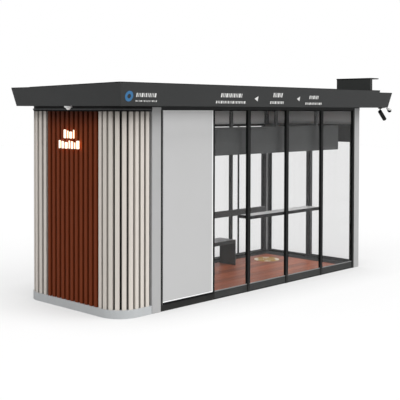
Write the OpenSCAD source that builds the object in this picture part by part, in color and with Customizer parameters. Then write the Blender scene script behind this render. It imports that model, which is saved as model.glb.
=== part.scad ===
// Enclosed bus shelter: glazed room on a low base, slatted end with two round corners, flat roof with a
// fascia that leans outward. Millimetres, +Z up. The origin is on the ground, at the centre of the body's
// footprint. +X runs along the front from the slatted end to the entrance end, and +Y runs to the rear.

/* [Body] */
// Length of the body over its end posts
body_l = 5000; // [4600:10:5600]
// Depth of the body from front face to rear face
body_d = 1900; // [1800:10:2200]
// Height from the ground to the underside of the roof
body_h = 2520; // [2400:10:2800]
// Radius of the round corners at the plinth's outer face
corner_r = 300; // [220:10:360]
// Height of the beams that close the walls at the top
beam_h = 45; // [35:5:80]

/* [Floor] */
// Thickness of the base slab that stands on the ground
base_t = 35; // [25:5:60]
// Thickness of the floor boards on the base slab
boards_t = 15; // [10:1:25]
// Diameter of the round floor mark
mark_dia = 420; // [300:10:500]
// Thickness of the floor mark
mark_t = 2; // [1:1:4]
// Distance from the floor mark's centre to the body's entrance end
mark_from_end = 740; // [600:10:1000]
// Distance from the floor mark's centre to the rear face
mark_from_rear = 620; // [500:10:700]

/* [Slatted end] */
// Height of the plinth under the slats
plinth_h = 100; // [80:5:160]
// Distance from the plinth's face back to the slats' face
slat_inset = 10; // [4:1:20]
// Depth of a slat
slat_depth = 40; // [30:1:50]
// Width of a slat
slat_w = 54; // [48:1:66]
// Radius of a slat's outer edges
slat_edge_r = 6; // [2:1:10]
// Gap between the pale post and the first slat
slat_start = 20; // [3:1:30]
// Pitch of the pale slats round the front corner
corner_pitch = 85; // [80:1:100]
// Number of pale slats round the front corner
corner_slats = 9; // [8:1:9]
// Number of brown slats
brown_slats = 11; // [10:1:11]
// Pitch of the brown slats
brown_pitch = 92; // [88:1:96]
// Number of pale slats round the rear corner
rear_slats = 9; // [8:1:9]
// Gap between the slats' tops and the beam over them
slat_top_gap = 14; // [8:1:30]
// Thickness of the wall behind the slats
backing_t = 60; // [40:5:80]

/* [Front] */
// Distance from the round end to the pale post beside the slats
left_post_from_end = 532; // [500:1:620]
// Width of the pale post beside the slats
left_post_w = 150; // [120:5:180]
// Width of the pale post at the entrance end
right_post_w = 140; // [120:2:180]
// Depth of the pale post at the entrance end
right_post_d = 75; // [60:5:100]
// Radius of the pale posts' edges
post_edge_r = 8; // [2:1:15]
// Pitch of the front mullions
bay_pitch = 837; // [760:1:860]
// Number of full glazed bays between mullions
bay_count = 3; // [2:1:3]
// Depth of the front mullions and sill
frame_d = 40; // [36:1:60]
// Width of a front mullion
mullion_w = 45; // [35:1:60]
// Width of the dark stiles beside the closed panel
stile_w = 26; // [18:1:40]
// Width of the closed panel
panel_w = 920; // [700:10:960]
// Thickness of the closed panel
panel_t = 40; // [25:1:60]
// Chamfer round the closed panel's face
panel_chamfer = 8; // [3:1:12]
// Height of the dark sill along the front
sill_h = 80; // [60:5:120]
// Distance from the front face back to the sill's face
sill_inset = 8; // [0:1:20]
// Height of the glazing rail on the sill
glaze_rail_h = 20; // [10:5:40]
// Depth of the glazing rail
glaze_rail_d = 22; // [18:2:24]
// Thickness of the glass panes
glass_t = 12; // [8:1:16]

/* [Rear] */
// Width of the rear corner post at the entrance end
corner_post_w = 155; // [110:5:160]
// Distance from the entrance end to the first rear post's centre
rear_post_from_end = 991; // [900:1:1100]
// Pitch of the rear posts
rear_post_pitch = 1180; // [1050:2:1200]
// Number of rear posts between the corners
rear_post_count = 3; // [2:1:3]
// Width of a rear post
rear_post_w = 58; // [36:1:60]
// Depth of a rear post and of the transom panels
rear_post_d = 40; // [30:2:60]
// Distance from a rear post's centre to the thin mullion beside it
thin_offset = 190; // [110:2:220]
// Side of a thin mullion
thin_w = 16; // [14:1:24]
// Height of the transom panels
transom_h = 220; // [180:5:300]
// Height of the rail under the transom panels
transom_rail_h = 20; // [15:1:40]
// Height of the leaning rail's underside above the ground
lean_z = 757; // [700:5:900]
// Height of the leaning rail
lean_h = 76; // [40:5:90]
// Depth of the leaning rail
lean_d = 40; // [30:5:60]

/* [Entrance end] */
// Distance from the front face to the fixed post beside the doorway
end_post_from_front = 918; // [880:1:960]
// Width of that fixed post
end_post_w = 76; // [40:1:80]
// Thickness of the outer layer that holds the fixed pane
outer_layer_t = 70; // [60:5:75]
// Height of the operator box between the transom panel and the doorway
operator_h = 262; // [200:5:300]
// Depth of the operator box along X
operator_d = 150; // [140:5:200]
// Sheet thickness of the operator box
operator_sheet = 6; // [3:1:8]
// Thickness of the sliding leaf
leaf_t = 30; // [28:1:34]
// Running clearance round the sliding leaf
leaf_clear = 10; // [6:1:12]
// Gap at the leaf's closing and opening edges
leaf_edge_gap = 12; // [11:1:16]
// Lap of the closed leaf behind the fixed post
leaf_lap = 8; // [4:1:20]
// Width of the leaf's stiles
leaf_stile = 18; // [16:1:40]
// Height of the leaf's bottom rail
leaf_bottom = 40; // [30:2:60]
// Height of the leaf's top rail
leaf_top = 45; // [40:5:60]
// How far the leaf's top rail stands up into the operator box
leaf_rise = 40; // [30:2:50]
// Thickness of the leaf's glass
leaf_glass_t = 8; // [6:1:12]
// Radius of the hanger wheels
wheel_r = 25; // [18:1:30]
// Width of the hanger wheels
wheel_w = 16; // [10:1:20]
// Running gap between a wheel and its track
wheel_gap = 0.3; // [0.1:0.1:0.5]
// Gap between the hanger plates and the track's edge
track_gap = 5; // [4:1:8]
// Height of the track above the doorway's head
track_rise = 85; // [60:5:120]
// Thickness of the track's ledge
track_t = 16; // [10:1:20]
// Clearance beside the leaf in the operator box's slot
slot_clear = 7; // [5:1:10]
// Thickness of the hanger plates
hanger_t = 20; // [12:1:24]
// Width of the hanger plates
hanger_w = 80; // [60:5:100]
// Distance from the leaf's edges to the hangers' centres
hanger_in = 150; // [100:5:200]

/* [Room] */
// Height of the bench seat's top above the ground
seat_z = 450; // [400:5:500]
// Thickness of the bench seat
seat_t = 55; // [40:5:80]
// Depth of the bench
bench_d = 330; // [300:5:380]
// Length of the bench
bench_l = 1600; // [1200:20:1800]
// Distance from the bench's right end to the body's entrance end
bench_from_end = 1500; // [1400:5:1700]
// Gap between the bench and the leaning rail
bench_rear_gap = 175; // [100:5:200]
// Thickness of the bench's leg plates
leg_t = 12; // [8:1:20]
// Height of the counter's top above the ground
counter_z = 1025; // [900:5:1100]
// Thickness of the counter's pale top
counter_top_t = 10; // [10:1:30]
// Height of the dark frame under the counter's top
counter_frame_h = 35; // [25:1:60]
// Depth of the counter
counter_d = 210; // [180:5:280]
// Distance from the first mullion to the counter's left end
counter_start = 60; // [0:5:120]
// Distance from the underside of the top beams down to the hung box
band_drop = 233; // [180:1:300]
// Height of the hung box
band_h = 374; // [300:2:400]
// Depth of the hung box
band_d = 120; // [80:5:160]
// Gap between the front wall and the hung box
band_gap = 21; // [10:1:40]
// Distance from the hung box's right end to the body's entrance end
band_from_end = 402; // [380:5:600]
// Distance from the hung box's left end to the body's round end
band_from_left = 700; // [600:10:900]
// Number of hangers over the hung box
band_hangers = 4; // [3:1:5]
// Side of a square hanger over the hung box
band_hanger_w = 40; // [30:5:60]
// Thickness of the ceiling panel
ceiling_t = 20; // [12:1:35]

/* [Roof] */
// Overhang of the fascia's top edge in front
front_over = 260; // [220:5:320]
// Overhang of the fascia's top edge at the slatted end
left_over = 190; // [160:5:240]
// Overhang of the fascia's top edge at the entrance end
right_over = 530; // [480:5:580]
// Overhang of the fascia's top edge at the rear
rear_over = 5; // [0:1:100]
// Height of the fascia
fascia_h = 230; // [180:5:280]
// How far the fascia leans outward from bottom to top
fascia_lean = 48; // [20:1:60]
// Thickness of the fascia, measured level
fascia_t = 20; // [12:1:25]
// Thickness of the soffit and of the sheet that closes the fascia at the top
roof_sheet_t = 15; // [10:1:30]
// Clearance between the fascia and the edges of those sheets
sheet_gap = 0.3; // [0.2:0.1:0.8]
// Rise of the pitched deck at the front
deck_rise = 34; // [20:1:60]
// Thickness of the pitched deck at its rear edge
deck_edge = 3; // [2:1:8]
// Distance from the fascia's right edge to the deck
deck_from_right = 364; // [330:2:420]
// Distance from the fascia's rear edge to the deck
deck_from_rear = 408; // [300:2:500]

/* [Roof equipment] */
// Gap between the deck and the rooftop cabinet
cabinet_gap = 8; // [4:1:20]
// Thickness of the rooftop cabinet along X
cabinet_t = 60; // [40:5:80]
// Length of the rooftop cabinet along Y
cabinet_l = 640; // [500:10:800]
// Height of the rooftop cabinet
cabinet_h = 226; // [180:2:300]
// How far the cabinet reaches in front of the body's front face
cabinet_front = 80; // [60:5:150]
// Thickness of the hood plate on the cabinet
hood_t = 16; // [6:1:20]
// Overhang of the hood plate beyond the cabinet's far side
hood_over = 175; // [120:5:200]
// Margin of the hood plate on its other sides
hood_margin = 4; // [4:1:20]
// Diameter of the bullet camera
bullet_dia = 64; // [50:1:72]
// Length of the bullet camera
bullet_l = 190; // [140:5:200]
// Angle of the bullet camera below level
bullet_tilt = 42; // [20:1:60]
// Distance from the body's front face out to the bullet camera
bullet_front = 170; // [150:5:175]
// Distance from the body's entrance end out to the bullet camera
bullet_right = 325; // [280:5:330]
// Diameter of a dome camera's collar
dome_dia = 100; // [80:2:100]
// Distance from the body's round end out to the left dome camera
dome_left = 85; // [80:5:90]
// Distance from the body's front face to the left dome camera
dome_from_front = 840; // [600:5:1000]
// Distance from the fascia's right edge out to the outer dome camera's centre
dome_out = 45; // [5:5:45]
// Height of a dome camera's collar
dome_collar_h = 18; // [12:1:30]
// Radius of a dome camera's bubble
dome_bubble_r = 32; // [24:1:38]
// Thickness of the plate that carries the outer dome camera
dome_plate_t = 6; // [4:1:10]
// Width of that plate
dome_plate_w = 60; // [40:2:80]
// Length of that plate's seat under the soffit
dome_plate_grip = 88; // [60:2:120]

/* [Hidden] */
$fn = 48;

fascia_grey = "#4a4a4a";
frame_black = "#2a2c2e";
pale_grey = "#b9b9b9";
slat_pale = "#d0c8be";
slat_brown = "#6b3d2d";
glass_tint = "#dfe6e8";

// Edges of the body and heights that several pieces share
x_left = -body_l / 2;
x_right = body_l / 2;
y_front = -body_d / 2;
y_rear = body_d / 2;
floor_z = base_t + boards_t;
beam_z = body_h - beam_h;
transom_z = beam_z - transom_h;
door_head_z = transom_z - operator_h;

// Layers of the slatted end, measured inward from the plinth's face
slat_in = slat_inset + slat_depth;
wall_in = slat_in + backing_t;

// Inner faces: every wall is as thick as the slatted end
front_in = y_front + wall_in;
rear_in = y_rear - wall_in;
right_in = x_right - wall_in;
rear_mid = y_rear - wall_in / 2;

// Run of the slats: along the front, round the corner, along the end, round the rear corner to the rear post
post_x = x_left + left_post_from_end;
slat_r = corner_r - slat_inset;
front_run = left_post_from_end - corner_r;
arc_run = slat_r * PI / 2;
side_run = body_d - 2 * corner_r;
corner_run = slat_start + corner_slats * corner_pitch;
brown_end = corner_run + brown_slats * brown_pitch;
rear_arc = front_run + arc_run + side_run;
rear_end = rear_arc + arc_run + front_run;
rear_pitch = (rear_end - slat_start - brown_end) / rear_slats;
slat_h = beam_z - slat_top_gap - plinth_h;

// Front wall
panel_x = post_x + left_post_w + stile_w;
panel_end = panel_x + panel_w;
right_post_x = x_right - right_post_w;
glass_y = y_front + (sill_inset + frame_d) / 2;
glass_z = sill_h + glaze_rail_h;

// Entrance end
door_front = y_front + right_post_d;
outer_x = x_right - outer_layer_t;
end_post_y = y_front + end_post_from_front;
pane_y = end_post_y + end_post_w;
leaf_x = outer_x - leaf_clear - leaf_t;
leaf_y = door_front + leaf_edge_gap;
leaf_w = end_post_y + leaf_lap - leaf_y;
leaf_z = floor_z + leaf_clear;
leaf_h = door_head_z + leaf_rise - leaf_z;
operator_x = x_right - operator_d;
hanger_x = leaf_x + (leaf_t - hanger_t) / 2;
track_x = hanger_x + hanger_t + track_gap;
track_top = door_head_z + track_rise;
wheel_z = track_top + wheel_gap + wheel_r;
axle_r = wheel_r / 3;
hanger_h = wheel_z + axle_r - leaf_z - leaf_h;

// Room
rail_y = rear_mid - rear_post_d / 2 - lean_d;
bench_x = x_right - bench_from_end - bench_l;
bench_y = rail_y - bench_rear_gap - bench_d;
counter_x = mullion_x(bay_count) + mullion_w + counter_start;
counter_l = mullion_x(1) - counter_x;
band_x = x_left + band_from_left;
band_l = x_right - band_from_end - band_x;
band_y = front_in + band_gap;
band_z = beam_z - band_drop - band_h;
ceiling_z = body_h - ceiling_t;

// Roof
top_z = body_h + fascia_h;
far = 3 * (body_l + body_d);
deck_x = x_right + right_over - deck_from_right;
deck_y = y_rear + rear_over - deck_from_rear;
cabinet_x = deck_x + cabinet_gap;
cabinet_y = y_front - cabinet_front;

// Left edge of a front mullion, counted from the entrance end
function mullion_x(i) = right_post_x - i * bay_pitch - mullion_w;

// Left edge of the bay that ends at mullion i
function bay_x(i) = i == bay_count ? panel_end + stile_w : mullion_x(i + 1) + mullion_w;

// Centre of a rear post, counted from the entrance end
function rear_post_x(i) = x_right - rear_post_from_end - i * rear_post_pitch;

// Right edge of the rear bay that starts at rear post i
function rear_bay_end(i) = i == 0 ? x_right - corner_post_w : rear_post_x(i - 1) - rear_post_w / 2;

// How far the fascia's face stands in from its top edge at height z
function lean_in(z) = fascia_lean * (top_z - z) / fascia_h;

// A box given by its low corner and its size
module block(at, size) {
  translate(at)
    cube(size);
}

// A block whose vertical edges are round
module round_block(at, size, r) {
  translate(at)
    linear_extrude(height = size[2])
      round_rect(size[0], size[1], r);
}

module round_rect(w, d, r) {
  translate([r, 0])
    square([w - 2 * r, d]);
  translate([0, r])
    square([w, d - 2 * r]);
  for (x = [r, w - r], y = [r, d - r])
    translate([x, y])
      circle(r = r);
}

// Plan of the body inside the line that lies inset from the plinth's face, with both round corners
module plan(inset, to_x) {
  centre_x = x_left + corner_r;
  translate([x_left + inset, y_front + corner_r])
    square([to_x - x_left - inset, side_run]);
  translate([centre_x, y_front + inset])
    square([to_x - centre_x, body_d - 2 * inset]);
  for (y = [y_front + corner_r, y_rear - corner_r])
    translate([centre_x, y])
      circle(r = corner_r - inset);
}

// Wall between two insets that runs from the front pale post round the end to the rear one
module end_band(outer, inner, z, h) {
  translate([0, 0, z])
    linear_extrude(height = h)
      difference() {
        plan(outer, post_x);
        plan(inner, post_x + body_l);
      }
}

// Plan of the floor, which reaches forward to the shallow front frame
module floor_plan() {
  bay_start = panel_end + stile_w;
  plan(wall_in, right_in);
  translate([bay_start, y_front + frame_d])
    square([right_post_x - bay_start, wall_in - frame_d]);
  translate([right_post_x, door_front])
    square([right_in - right_post_x, front_in - door_front]);
}

// One slat: flat back on the wall, outer edges round
module slat() {
  translate([-slat_w / 2, 0, plinth_h])
    linear_extrude(height = slat_h) {
      translate([0, slat_edge_r])
        square([slat_w, slat_depth - slat_edge_r]);
      translate([slat_edge_r, 0])
        square([slat_w - 2 * slat_edge_r, slat_depth]);
      for (x = [slat_edge_r, slat_w - slat_edge_r])
        translate([x, slat_edge_r])
          circle(r = slat_edge_r);
    }
}

// A slat that stands on the front face, turned by angle about the middle of one round corner
module slat_round(y, angle) {
  translate([x_left + corner_r, y, 0])
    rotate([0, 0, -angle])
      translate([0, -slat_r, 0])
        slat();
}

// A slat whose middle lies at distance t along the run
module slat_at(t) {
  if (t < front_run)
    translate([post_x - t, y_front + slat_inset, 0])
      slat();
  else if (t < front_run + arc_run)
    slat_round(y_front + corner_r, (t - front_run) / slat_r * 180 / PI);
  else if (t < rear_arc)
    translate([x_left + slat_inset, y_front + corner_r + t - front_run - arc_run, 0])
      rotate([0, 0, -90])
        slat();
  else if (t < rear_arc + arc_run)
    slat_round(y_rear - corner_r, 90 + (t - rear_arc) / slat_r * 180 / PI);
  else
    translate([x_left + corner_r + t - rear_arc - arc_run, y_rear - slat_inset, 0])
      rotate([0, 0, 180])
        slat();
}

// A block with four leaning sides that keep inset inside the fascia's outer face
module lean_block(z0, z1, inset) {
  intersection() {
    rotate([90, 0, 0])
      linear_extrude(height = far, center = true)
        polygon([
          [x_left - left_over + lean_in(z0) + inset, z0],
          [x_right + right_over - lean_in(z0) - inset, z0],
          [x_right + right_over - lean_in(z1) - inset, z1],
          [x_left - left_over + lean_in(z1) + inset, z1]
        ]);
    rotate([90, 0, 90])
      linear_extrude(height = far, center = true)
        polygon([
          [y_front - front_over + lean_in(z0) + inset, z0],
          [y_rear + rear_over - lean_in(z0) - inset, z0],
          [y_rear + rear_over - lean_in(z1) - inset, z1],
          [y_front - front_over + lean_in(z1) + inset, z1]
        ]);
  }
}

// ---- Floor ----

module floor_base() {
  color(frame_black)
    linear_extrude(height = base_t)
      floor_plan();
}

module floor_boards() {
  color("#8a4b38")
    translate([0, 0, base_t])
      linear_extrude(height = boards_t)
        floor_plan();
}

module floor_mark() {
  color("#b98a3a")
    translate([x_right - mark_from_end, y_rear - mark_from_rear, floor_z])
      cylinder(r = mark_dia / 2, h = mark_t);
}

// ---- Slatted end ----

module plinth() {
  color("#b7b9ba")
    end_band(0, wall_in, 0, plinth_h);
}

// Pale slats: round the front corner first, then round the rear one
module slats_pale() {
  color(slat_pale) {
    for (i = [0 : corner_slats - 1])
      slat_at(slat_start + (i + 0.5) * corner_pitch);
    for (i = [0 : rear_slats - 1])
      slat_at(brown_end + (i + 0.5) * rear_pitch);
  }
}

module slats_brown() {
  color(slat_brown)
    for (i = [0 : brown_slats - 1])
      slat_at(corner_run + (i + 0.5) * brown_pitch);
}

module end_wall() {
  color(frame_black)
    end_band(slat_in, wall_in, plinth_h, beam_z - plinth_h);
}

module end_beam() {
  color(fascia_grey)
    end_band(slat_inset, wall_in, beam_z, beam_h);
}

// ---- Posts ----

module pale_posts() {
  color(pale_grey) {
    round_block([post_x, y_front, 0], [left_post_w, wall_in, beam_z], post_edge_r);
    round_block([right_post_x, y_front, 0], [right_post_w, right_post_d, beam_z], post_edge_r);
    round_block([post_x, rear_in, 0], [left_post_w, wall_in, beam_z], post_edge_r);
  }
}

// ---- Front wall ----

module panel_frame() {
  color(frame_black)
    difference() {
      block([panel_x - stile_w, y_front + sill_inset, 0],
            [panel_w + 2 * stile_w, wall_in - sill_inset, beam_z]);
      block([panel_x, y_front - panel_t, sill_h], [panel_w, 2 * panel_t, beam_z]);
    }
}

module front_panel() {
  c = panel_chamfer;
  color("#c6c6c6")
    translate([panel_x, y_front, sill_h])
      intersection() {
        linear_extrude(height = beam_z - sill_h)
          polygon([[0, c], [c, 0], [panel_w - c, 0], [panel_w, c], [panel_w, panel_t], [0, panel_t]]);
        rotate([90, 0, 90])
          linear_extrude(height = panel_w)
            polygon([[0, c], [c, 0], [panel_t, 0], [panel_t, beam_z - sill_h], [c, beam_z - sill_h],
                     [0, beam_z - sill_h - c]]);
      }
}

module front_mullions() {
  color(frame_black)
    for (i = [0 : bay_count])
      block([mullion_x(i), y_front, 0], [mullion_w, frame_d, beam_z]);
}

module front_sill() {
  color(frame_black)
    for (i = [0 : bay_count]) {
      block([bay_x(i), y_front + sill_inset, 0], [mullion_x(i) - bay_x(i), frame_d - sill_inset, sill_h]);
      block([bay_x(i), glass_y - glaze_rail_d / 2, sill_h - glaze_rail_h],
            [mullion_x(i) - bay_x(i), glaze_rail_d, 2 * glaze_rail_h]);
    }
}

module front_glass() {
  color(glass_tint, 0.3)
    for (i = [0 : bay_count])
      block([bay_x(i), glass_y - glass_t / 2, glass_z],
            [mullion_x(i) - bay_x(i), glass_t, beam_z - glass_z]);
}

module front_beam() {
  color(fascia_grey)
    block([post_x, y_front, beam_z], [x_right - post_x, wall_in, beam_h]);
}

// ---- Rear wall ----

// The corner post at the entrance end, then in each bay a post on the sill with a thin mullion beside it
module rear_posts() {
  color(frame_black) {
    round_block([x_right - corner_post_w, rear_in, 0], [corner_post_w, wall_in, beam_z], post_edge_r);
    for (i = [0 : rear_post_count - 1]) {
      block([rear_post_x(i) - rear_post_w / 2, rear_mid - rear_post_d / 2, sill_h],
            [rear_post_w, rear_post_d, beam_z - sill_h]);
      block([rear_post_x(i) + thin_offset - thin_w / 2, rear_mid - thin_w / 2, sill_h],
            [thin_w, thin_w, transom_z - transom_rail_h - sill_h]);
    }
  }
}

module rear_sill() {
  from_x = post_x + left_post_w;
  color(frame_black)
    block([from_x, rear_in, 0], [x_right - corner_post_w - from_x, wall_in, sill_h]);
}

module rear_glass() {
  pane_h = transom_z - transom_rail_h - sill_h;
  pane_y0 = rear_mid - glass_t / 2;
  color(glass_tint, 0.3)
    for (i = [0 : rear_post_count - 1]) {
      x0 = rear_post_x(i) + rear_post_w / 2;
      x1 = rear_post_x(i) + thin_offset - thin_w / 2;
      x2 = x1 + thin_w;
      block([x0, pane_y0, sill_h], [x1 - x0, glass_t, pane_h]);
      block([x2, pane_y0, sill_h], [rear_bay_end(i) - x2, glass_t, pane_h]);
    }
}

module rear_panel() {
  from_x = post_x + left_post_w;
  last = rear_post_x(rear_post_count - 1) - rear_post_w / 2;
  color("#c6c6c6")
    block([from_x, rear_in, sill_h], [last - from_x, wall_in, beam_z - sill_h]);
}

// A panel over each rear bay with a rail at its foot, and a panel over the door operator
module transom_panels() {
  rail_d = (wall_in + rear_post_d) / 2;
  color("#6a6a6a") {
    for (i = [0 : rear_post_count - 1]) {
      x0 = rear_post_x(i) + rear_post_w / 2;
      w = rear_bay_end(i) - x0;
      block([x0, rear_mid - rear_post_d / 2, transom_z], [w, rear_post_d, transom_h]);
      block([x0, rear_mid - rail_d / 2, transom_z - transom_rail_h], [w, rail_d, transom_rail_h]);
    }
    block([x_right - (wall_in + rear_post_d) / 2, door_front, transom_z],
          [rear_post_d, rear_in - door_front, transom_h]);
  }
}

module rear_beam() {
  color(fascia_grey)
    block([post_x, rear_in, beam_z], [x_right - post_x, wall_in, beam_h]);
}

// Rail in front of the rear posts, between the closed panel and the corner post
module leaning_rail() {
  from_x = rear_post_x(rear_post_count - 1) - rear_post_w / 2;
  color(frame_black)
    block([from_x, rail_y, lean_z], [x_right - corner_post_w - from_x, lean_d, lean_h]);
}

// ---- Entrance end ----

module threshold() {
  color(frame_black) {
    block([right_in, door_front, 0], [wall_in, rear_in - door_front, floor_z]);
    block([outer_x, pane_y, 0], [outer_layer_t, rear_in - pane_y, sill_h]);
  }
}

module end_post() {
  color(frame_black)
    block([outer_x, end_post_y, floor_z], [outer_layer_t, end_post_w, door_head_z - floor_z]);
}

module end_glass() {
  color(glass_tint, 0.3)
    block([x_right - (outer_layer_t + glass_t) / 2, pane_y, sill_h],
          [glass_t, rear_in - pane_y, door_head_z - sill_h]);
}

// Cover of the door operator, open at the bottom
module door_operator() {
  y_len = rear_in - door_front;
  inside = [operator_d - 2 * operator_sheet, y_len - 2 * operator_sheet, operator_h - operator_sheet];
  color(frame_black)
    difference() {
      block([operator_x, door_front, door_head_z], [operator_d, y_len, operator_h]);
      block([operator_x + operator_sheet, door_front + operator_sheet, door_head_z], inside);
    }
}

// Ledge that the hanger wheels run on, and the plates beside the slot that close the cover's underside
module door_track() {
  y_len = rear_in - door_front - 2 * operator_sheet;
  y_low = door_front + operator_sheet;
  inner_x = operator_x + operator_sheet;
  slot_x = leaf_x - slot_clear;
  slot_end = leaf_x + leaf_t + slot_clear;
  color(frame_black) {
    block([inner_x, y_low, door_head_z], [slot_x - inner_x, y_len, operator_sheet]);
    block([slot_end, y_low, door_head_z], [x_right - operator_sheet - slot_end, y_len, operator_sheet]);
    block([track_x, y_low, track_top - track_t], [x_right - operator_sheet - track_x, y_len, track_t]);
  }
}

module entrance_beam() {
  color(fascia_grey)
    block([right_in, front_in, beam_z], [wall_in, rear_in - front_in, beam_h]);
}

// ---- Sliding leaf ----

module door_frame() {
  color(frame_black)
    difference() {
      block([leaf_x, leaf_y, leaf_z], [leaf_t, leaf_w, leaf_h]);
      block([leaf_x - leaf_t, leaf_y + leaf_stile, leaf_z + leaf_bottom],
            [3 * leaf_t, leaf_w - 2 * leaf_stile, leaf_h - leaf_bottom - leaf_top]);
    }
}

module door_glass() {
  color(glass_tint, 0.3)
    block([leaf_x + (leaf_t - leaf_glass_t) / 2, leaf_y + leaf_stile, leaf_z + leaf_bottom],
          [leaf_glass_t, leaf_w - 2 * leaf_stile, leaf_h - leaf_bottom - leaf_top]);
}

// Two plates that stand on the leaf, each with a wheel that runs on the track
module door_hangers() {
  color("#8c8f92")
    for (y = [leaf_y + hanger_in, leaf_y + leaf_w - hanger_in]) {
      block([hanger_x, y - hanger_w / 2, leaf_z + leaf_h], [hanger_t, hanger_w, hanger_h]);
      translate([hanger_x, y, wheel_z])
        rotate([0, 90, 0])
          cylinder(r = axle_r, h = track_x + track_gap - hanger_x);
      translate([track_x + track_gap / 2, y, wheel_z])
        rotate([0, 90, 0])
          cylinder(r = wheel_r, h = wheel_w);
    }
}

// ---- Room ----

module bench_seat() {
  color("#77777a")
    block([bench_x, bench_y, seat_z - seat_t], [bench_l, bench_d, seat_t]);
}

module bench_legs() {
  color("#424444")
    for (x = [bench_x, bench_x + (bench_l - leg_t) / 2, bench_x + bench_l - leg_t])
      block([x, bench_y, floor_z], [leg_t, bench_d, seat_z - seat_t - floor_z]);
}

module counter_top() {
  color("#b4b4b4")
    block([counter_x, y_front + frame_d, counter_z - counter_top_t], [counter_l, counter_d, counter_top_t]);
}

module counter_frame() {
  color(frame_black)
    block([counter_x, y_front + frame_d, counter_z - counter_top_t - counter_frame_h],
          [counter_l, counter_d, counter_frame_h]);
}

// Flat box behind the front glass
module sign_box() {
  color("#4e4e4e")
    block([band_x, band_y, band_z], [band_l, band_d, band_h]);
}

// Posts that hang the box from the ceiling
module box_hangers() {
  step = (band_l - band_hanger_w) / band_hangers;
  hanger_y = band_y + (band_d - band_hanger_w) / 2;
  color("#4e4e4e")
    for (i = [0 : band_hangers - 1])
      block([band_x + (i + 0.5) * step, hanger_y, band_z + band_h],
            [band_hanger_w, band_hanger_w, ceiling_z - band_z - band_h]);
}

module ceiling() {
  color("#8a8a8a")
    translate([0, 0, ceiling_z])
      linear_extrude(height = ceiling_t)
        plan(wall_in, right_in);
}

// ---- Roof ----

module roof_fascia() {
  color(fascia_grey)
    difference() {
      lean_block(body_h, top_z, 0);
      lean_block(body_h - fascia_t, top_z + fascia_t, fascia_t);
    }
}

// The soffit and the sheet that closes the fascia at the top
module roof_sheets() {
  color("#555555") {
    lean_block(body_h, body_h + roof_sheet_t, fascia_t + sheet_gap);
    lean_block(top_z - roof_sheet_t, top_z, fascia_t + sheet_gap);
  }
}

// Deck that falls from the front to the rear, its front and left faces in line with the fascia
module roof_deck() {
  z1 = top_z + deck_rise;
  color(fascia_grey)
    intersection() {
      rotate([90, 0, 0])
        linear_extrude(height = far, center = true)
          polygon([
            [x_left - left_over, top_z],
            [deck_x, top_z],
            [deck_x, z1],
            [x_left - left_over + lean_in(z1), z1]
          ]);
      rotate([90, 0, 90])
        linear_extrude(height = far, center = true)
          polygon([
            [y_front - front_over, top_z],
            [deck_y, top_z],
            [deck_y, top_z + deck_edge],
            [y_front - front_over + lean_in(z1), z1]
          ]);
    }
}

module roof_cabinet() {
  color("#2f3130")
    block([cabinet_x, cabinet_y, top_z], [cabinet_t, cabinet_l, cabinet_h]);
}

module cabinet_hood() {
  m = hood_margin;
  color("#1c1d1d")
    block([cabinet_x - m, cabinet_y - m, top_z + cabinet_h],
          [cabinet_t + m + hood_over, cabinet_l + 2 * m, hood_t]);
}

// Camera tube on a short arm under the soffit, tilted down and away from the body
module bullet_camera() {
  arm_h = bullet_dia;
  arm_r = bullet_dia / 6;
  base_h = bullet_dia / 4;
  color("#161718")
    translate([x_right + bullet_right, y_front - bullet_front, body_h]) {
      translate([0, 0, -base_h])
        cylinder(r = bullet_dia / 2, h = base_h);
      translate([0, 0, -arm_h])
        cylinder(r = arm_r, h = arm_h);
      translate([0, 0, -arm_h])
        rotate([0, 90 + bullet_tilt, 0])
          translate([0, 0, -arm_r])
            cylinder(r = bullet_dia / 2, h = bullet_l);
    }
}

// A ceiling dome under the left overhang, and one on a plate that reaches past the right fascia
module dome_cameras() {
  edge_x = x_right + right_over - fascia_lean;
  outer_x = x_right + right_over + dome_out;
  outer_y = y_front - front_over + fascia_lean + dome_dia / 4;
  plate_x = edge_x - dome_plate_grip;
  color("#e6e6e6") {
    translate([x_left - dome_left, y_front + dome_from_front, body_h])
      dome();
    translate([outer_x, outer_y, body_h - dome_plate_t])
      dome();
    block([plate_x, outer_y - dome_plate_w / 2, body_h - dome_plate_t],
          [outer_x + dome_dia / 4 - plate_x, dome_plate_w, dome_plate_t]);
  }
}

// Collar with half a ball under it
module dome() {
  translate([0, 0, -dome_collar_h]) {
    cylinder(r = dome_dia / 2, h = dome_collar_h);
    rotate_extrude()
      intersection() {
        circle(r = dome_bubble_r);
        translate([0, -dome_bubble_r])
          square([dome_bubble_r, dome_bubble_r]);
      }
  }
}

floor_base();
floor_boards();
floor_mark();
plinth();
slats_pale();
slats_brown();
end_wall();
end_beam();
pale_posts();
panel_frame();
front_panel();
front_mullions();
front_sill();
front_glass();
front_beam();
rear_posts();
rear_sill();
rear_glass();
rear_panel();
transom_panels();
rear_beam();
leaning_rail();
threshold();
end_post();
end_glass();
door_operator();
door_track();
entrance_beam();
door_frame();
door_glass();
door_hangers();
bench_seat();
bench_legs();
counter_top();
counter_frame();
sign_box();
box_hangers();
ceiling();
roof_fascia();
roof_sheets();
roof_deck();
roof_cabinet();
cabinet_hood();
bullet_camera();
dome_cameras();
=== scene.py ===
"""Bus shelter: finishes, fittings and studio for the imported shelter, laid out as an add-on.

Lengths are metres. +X runs along the front from the slatted end to the entrance, +Y to the rear, +Z up.
"""

import math

import bmesh
import bpy
from bpy.props import FloatProperty, FloatVectorProperty, IntProperty, PointerProperty
from mathutils import Matrix, Quaternion, Vector


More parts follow.
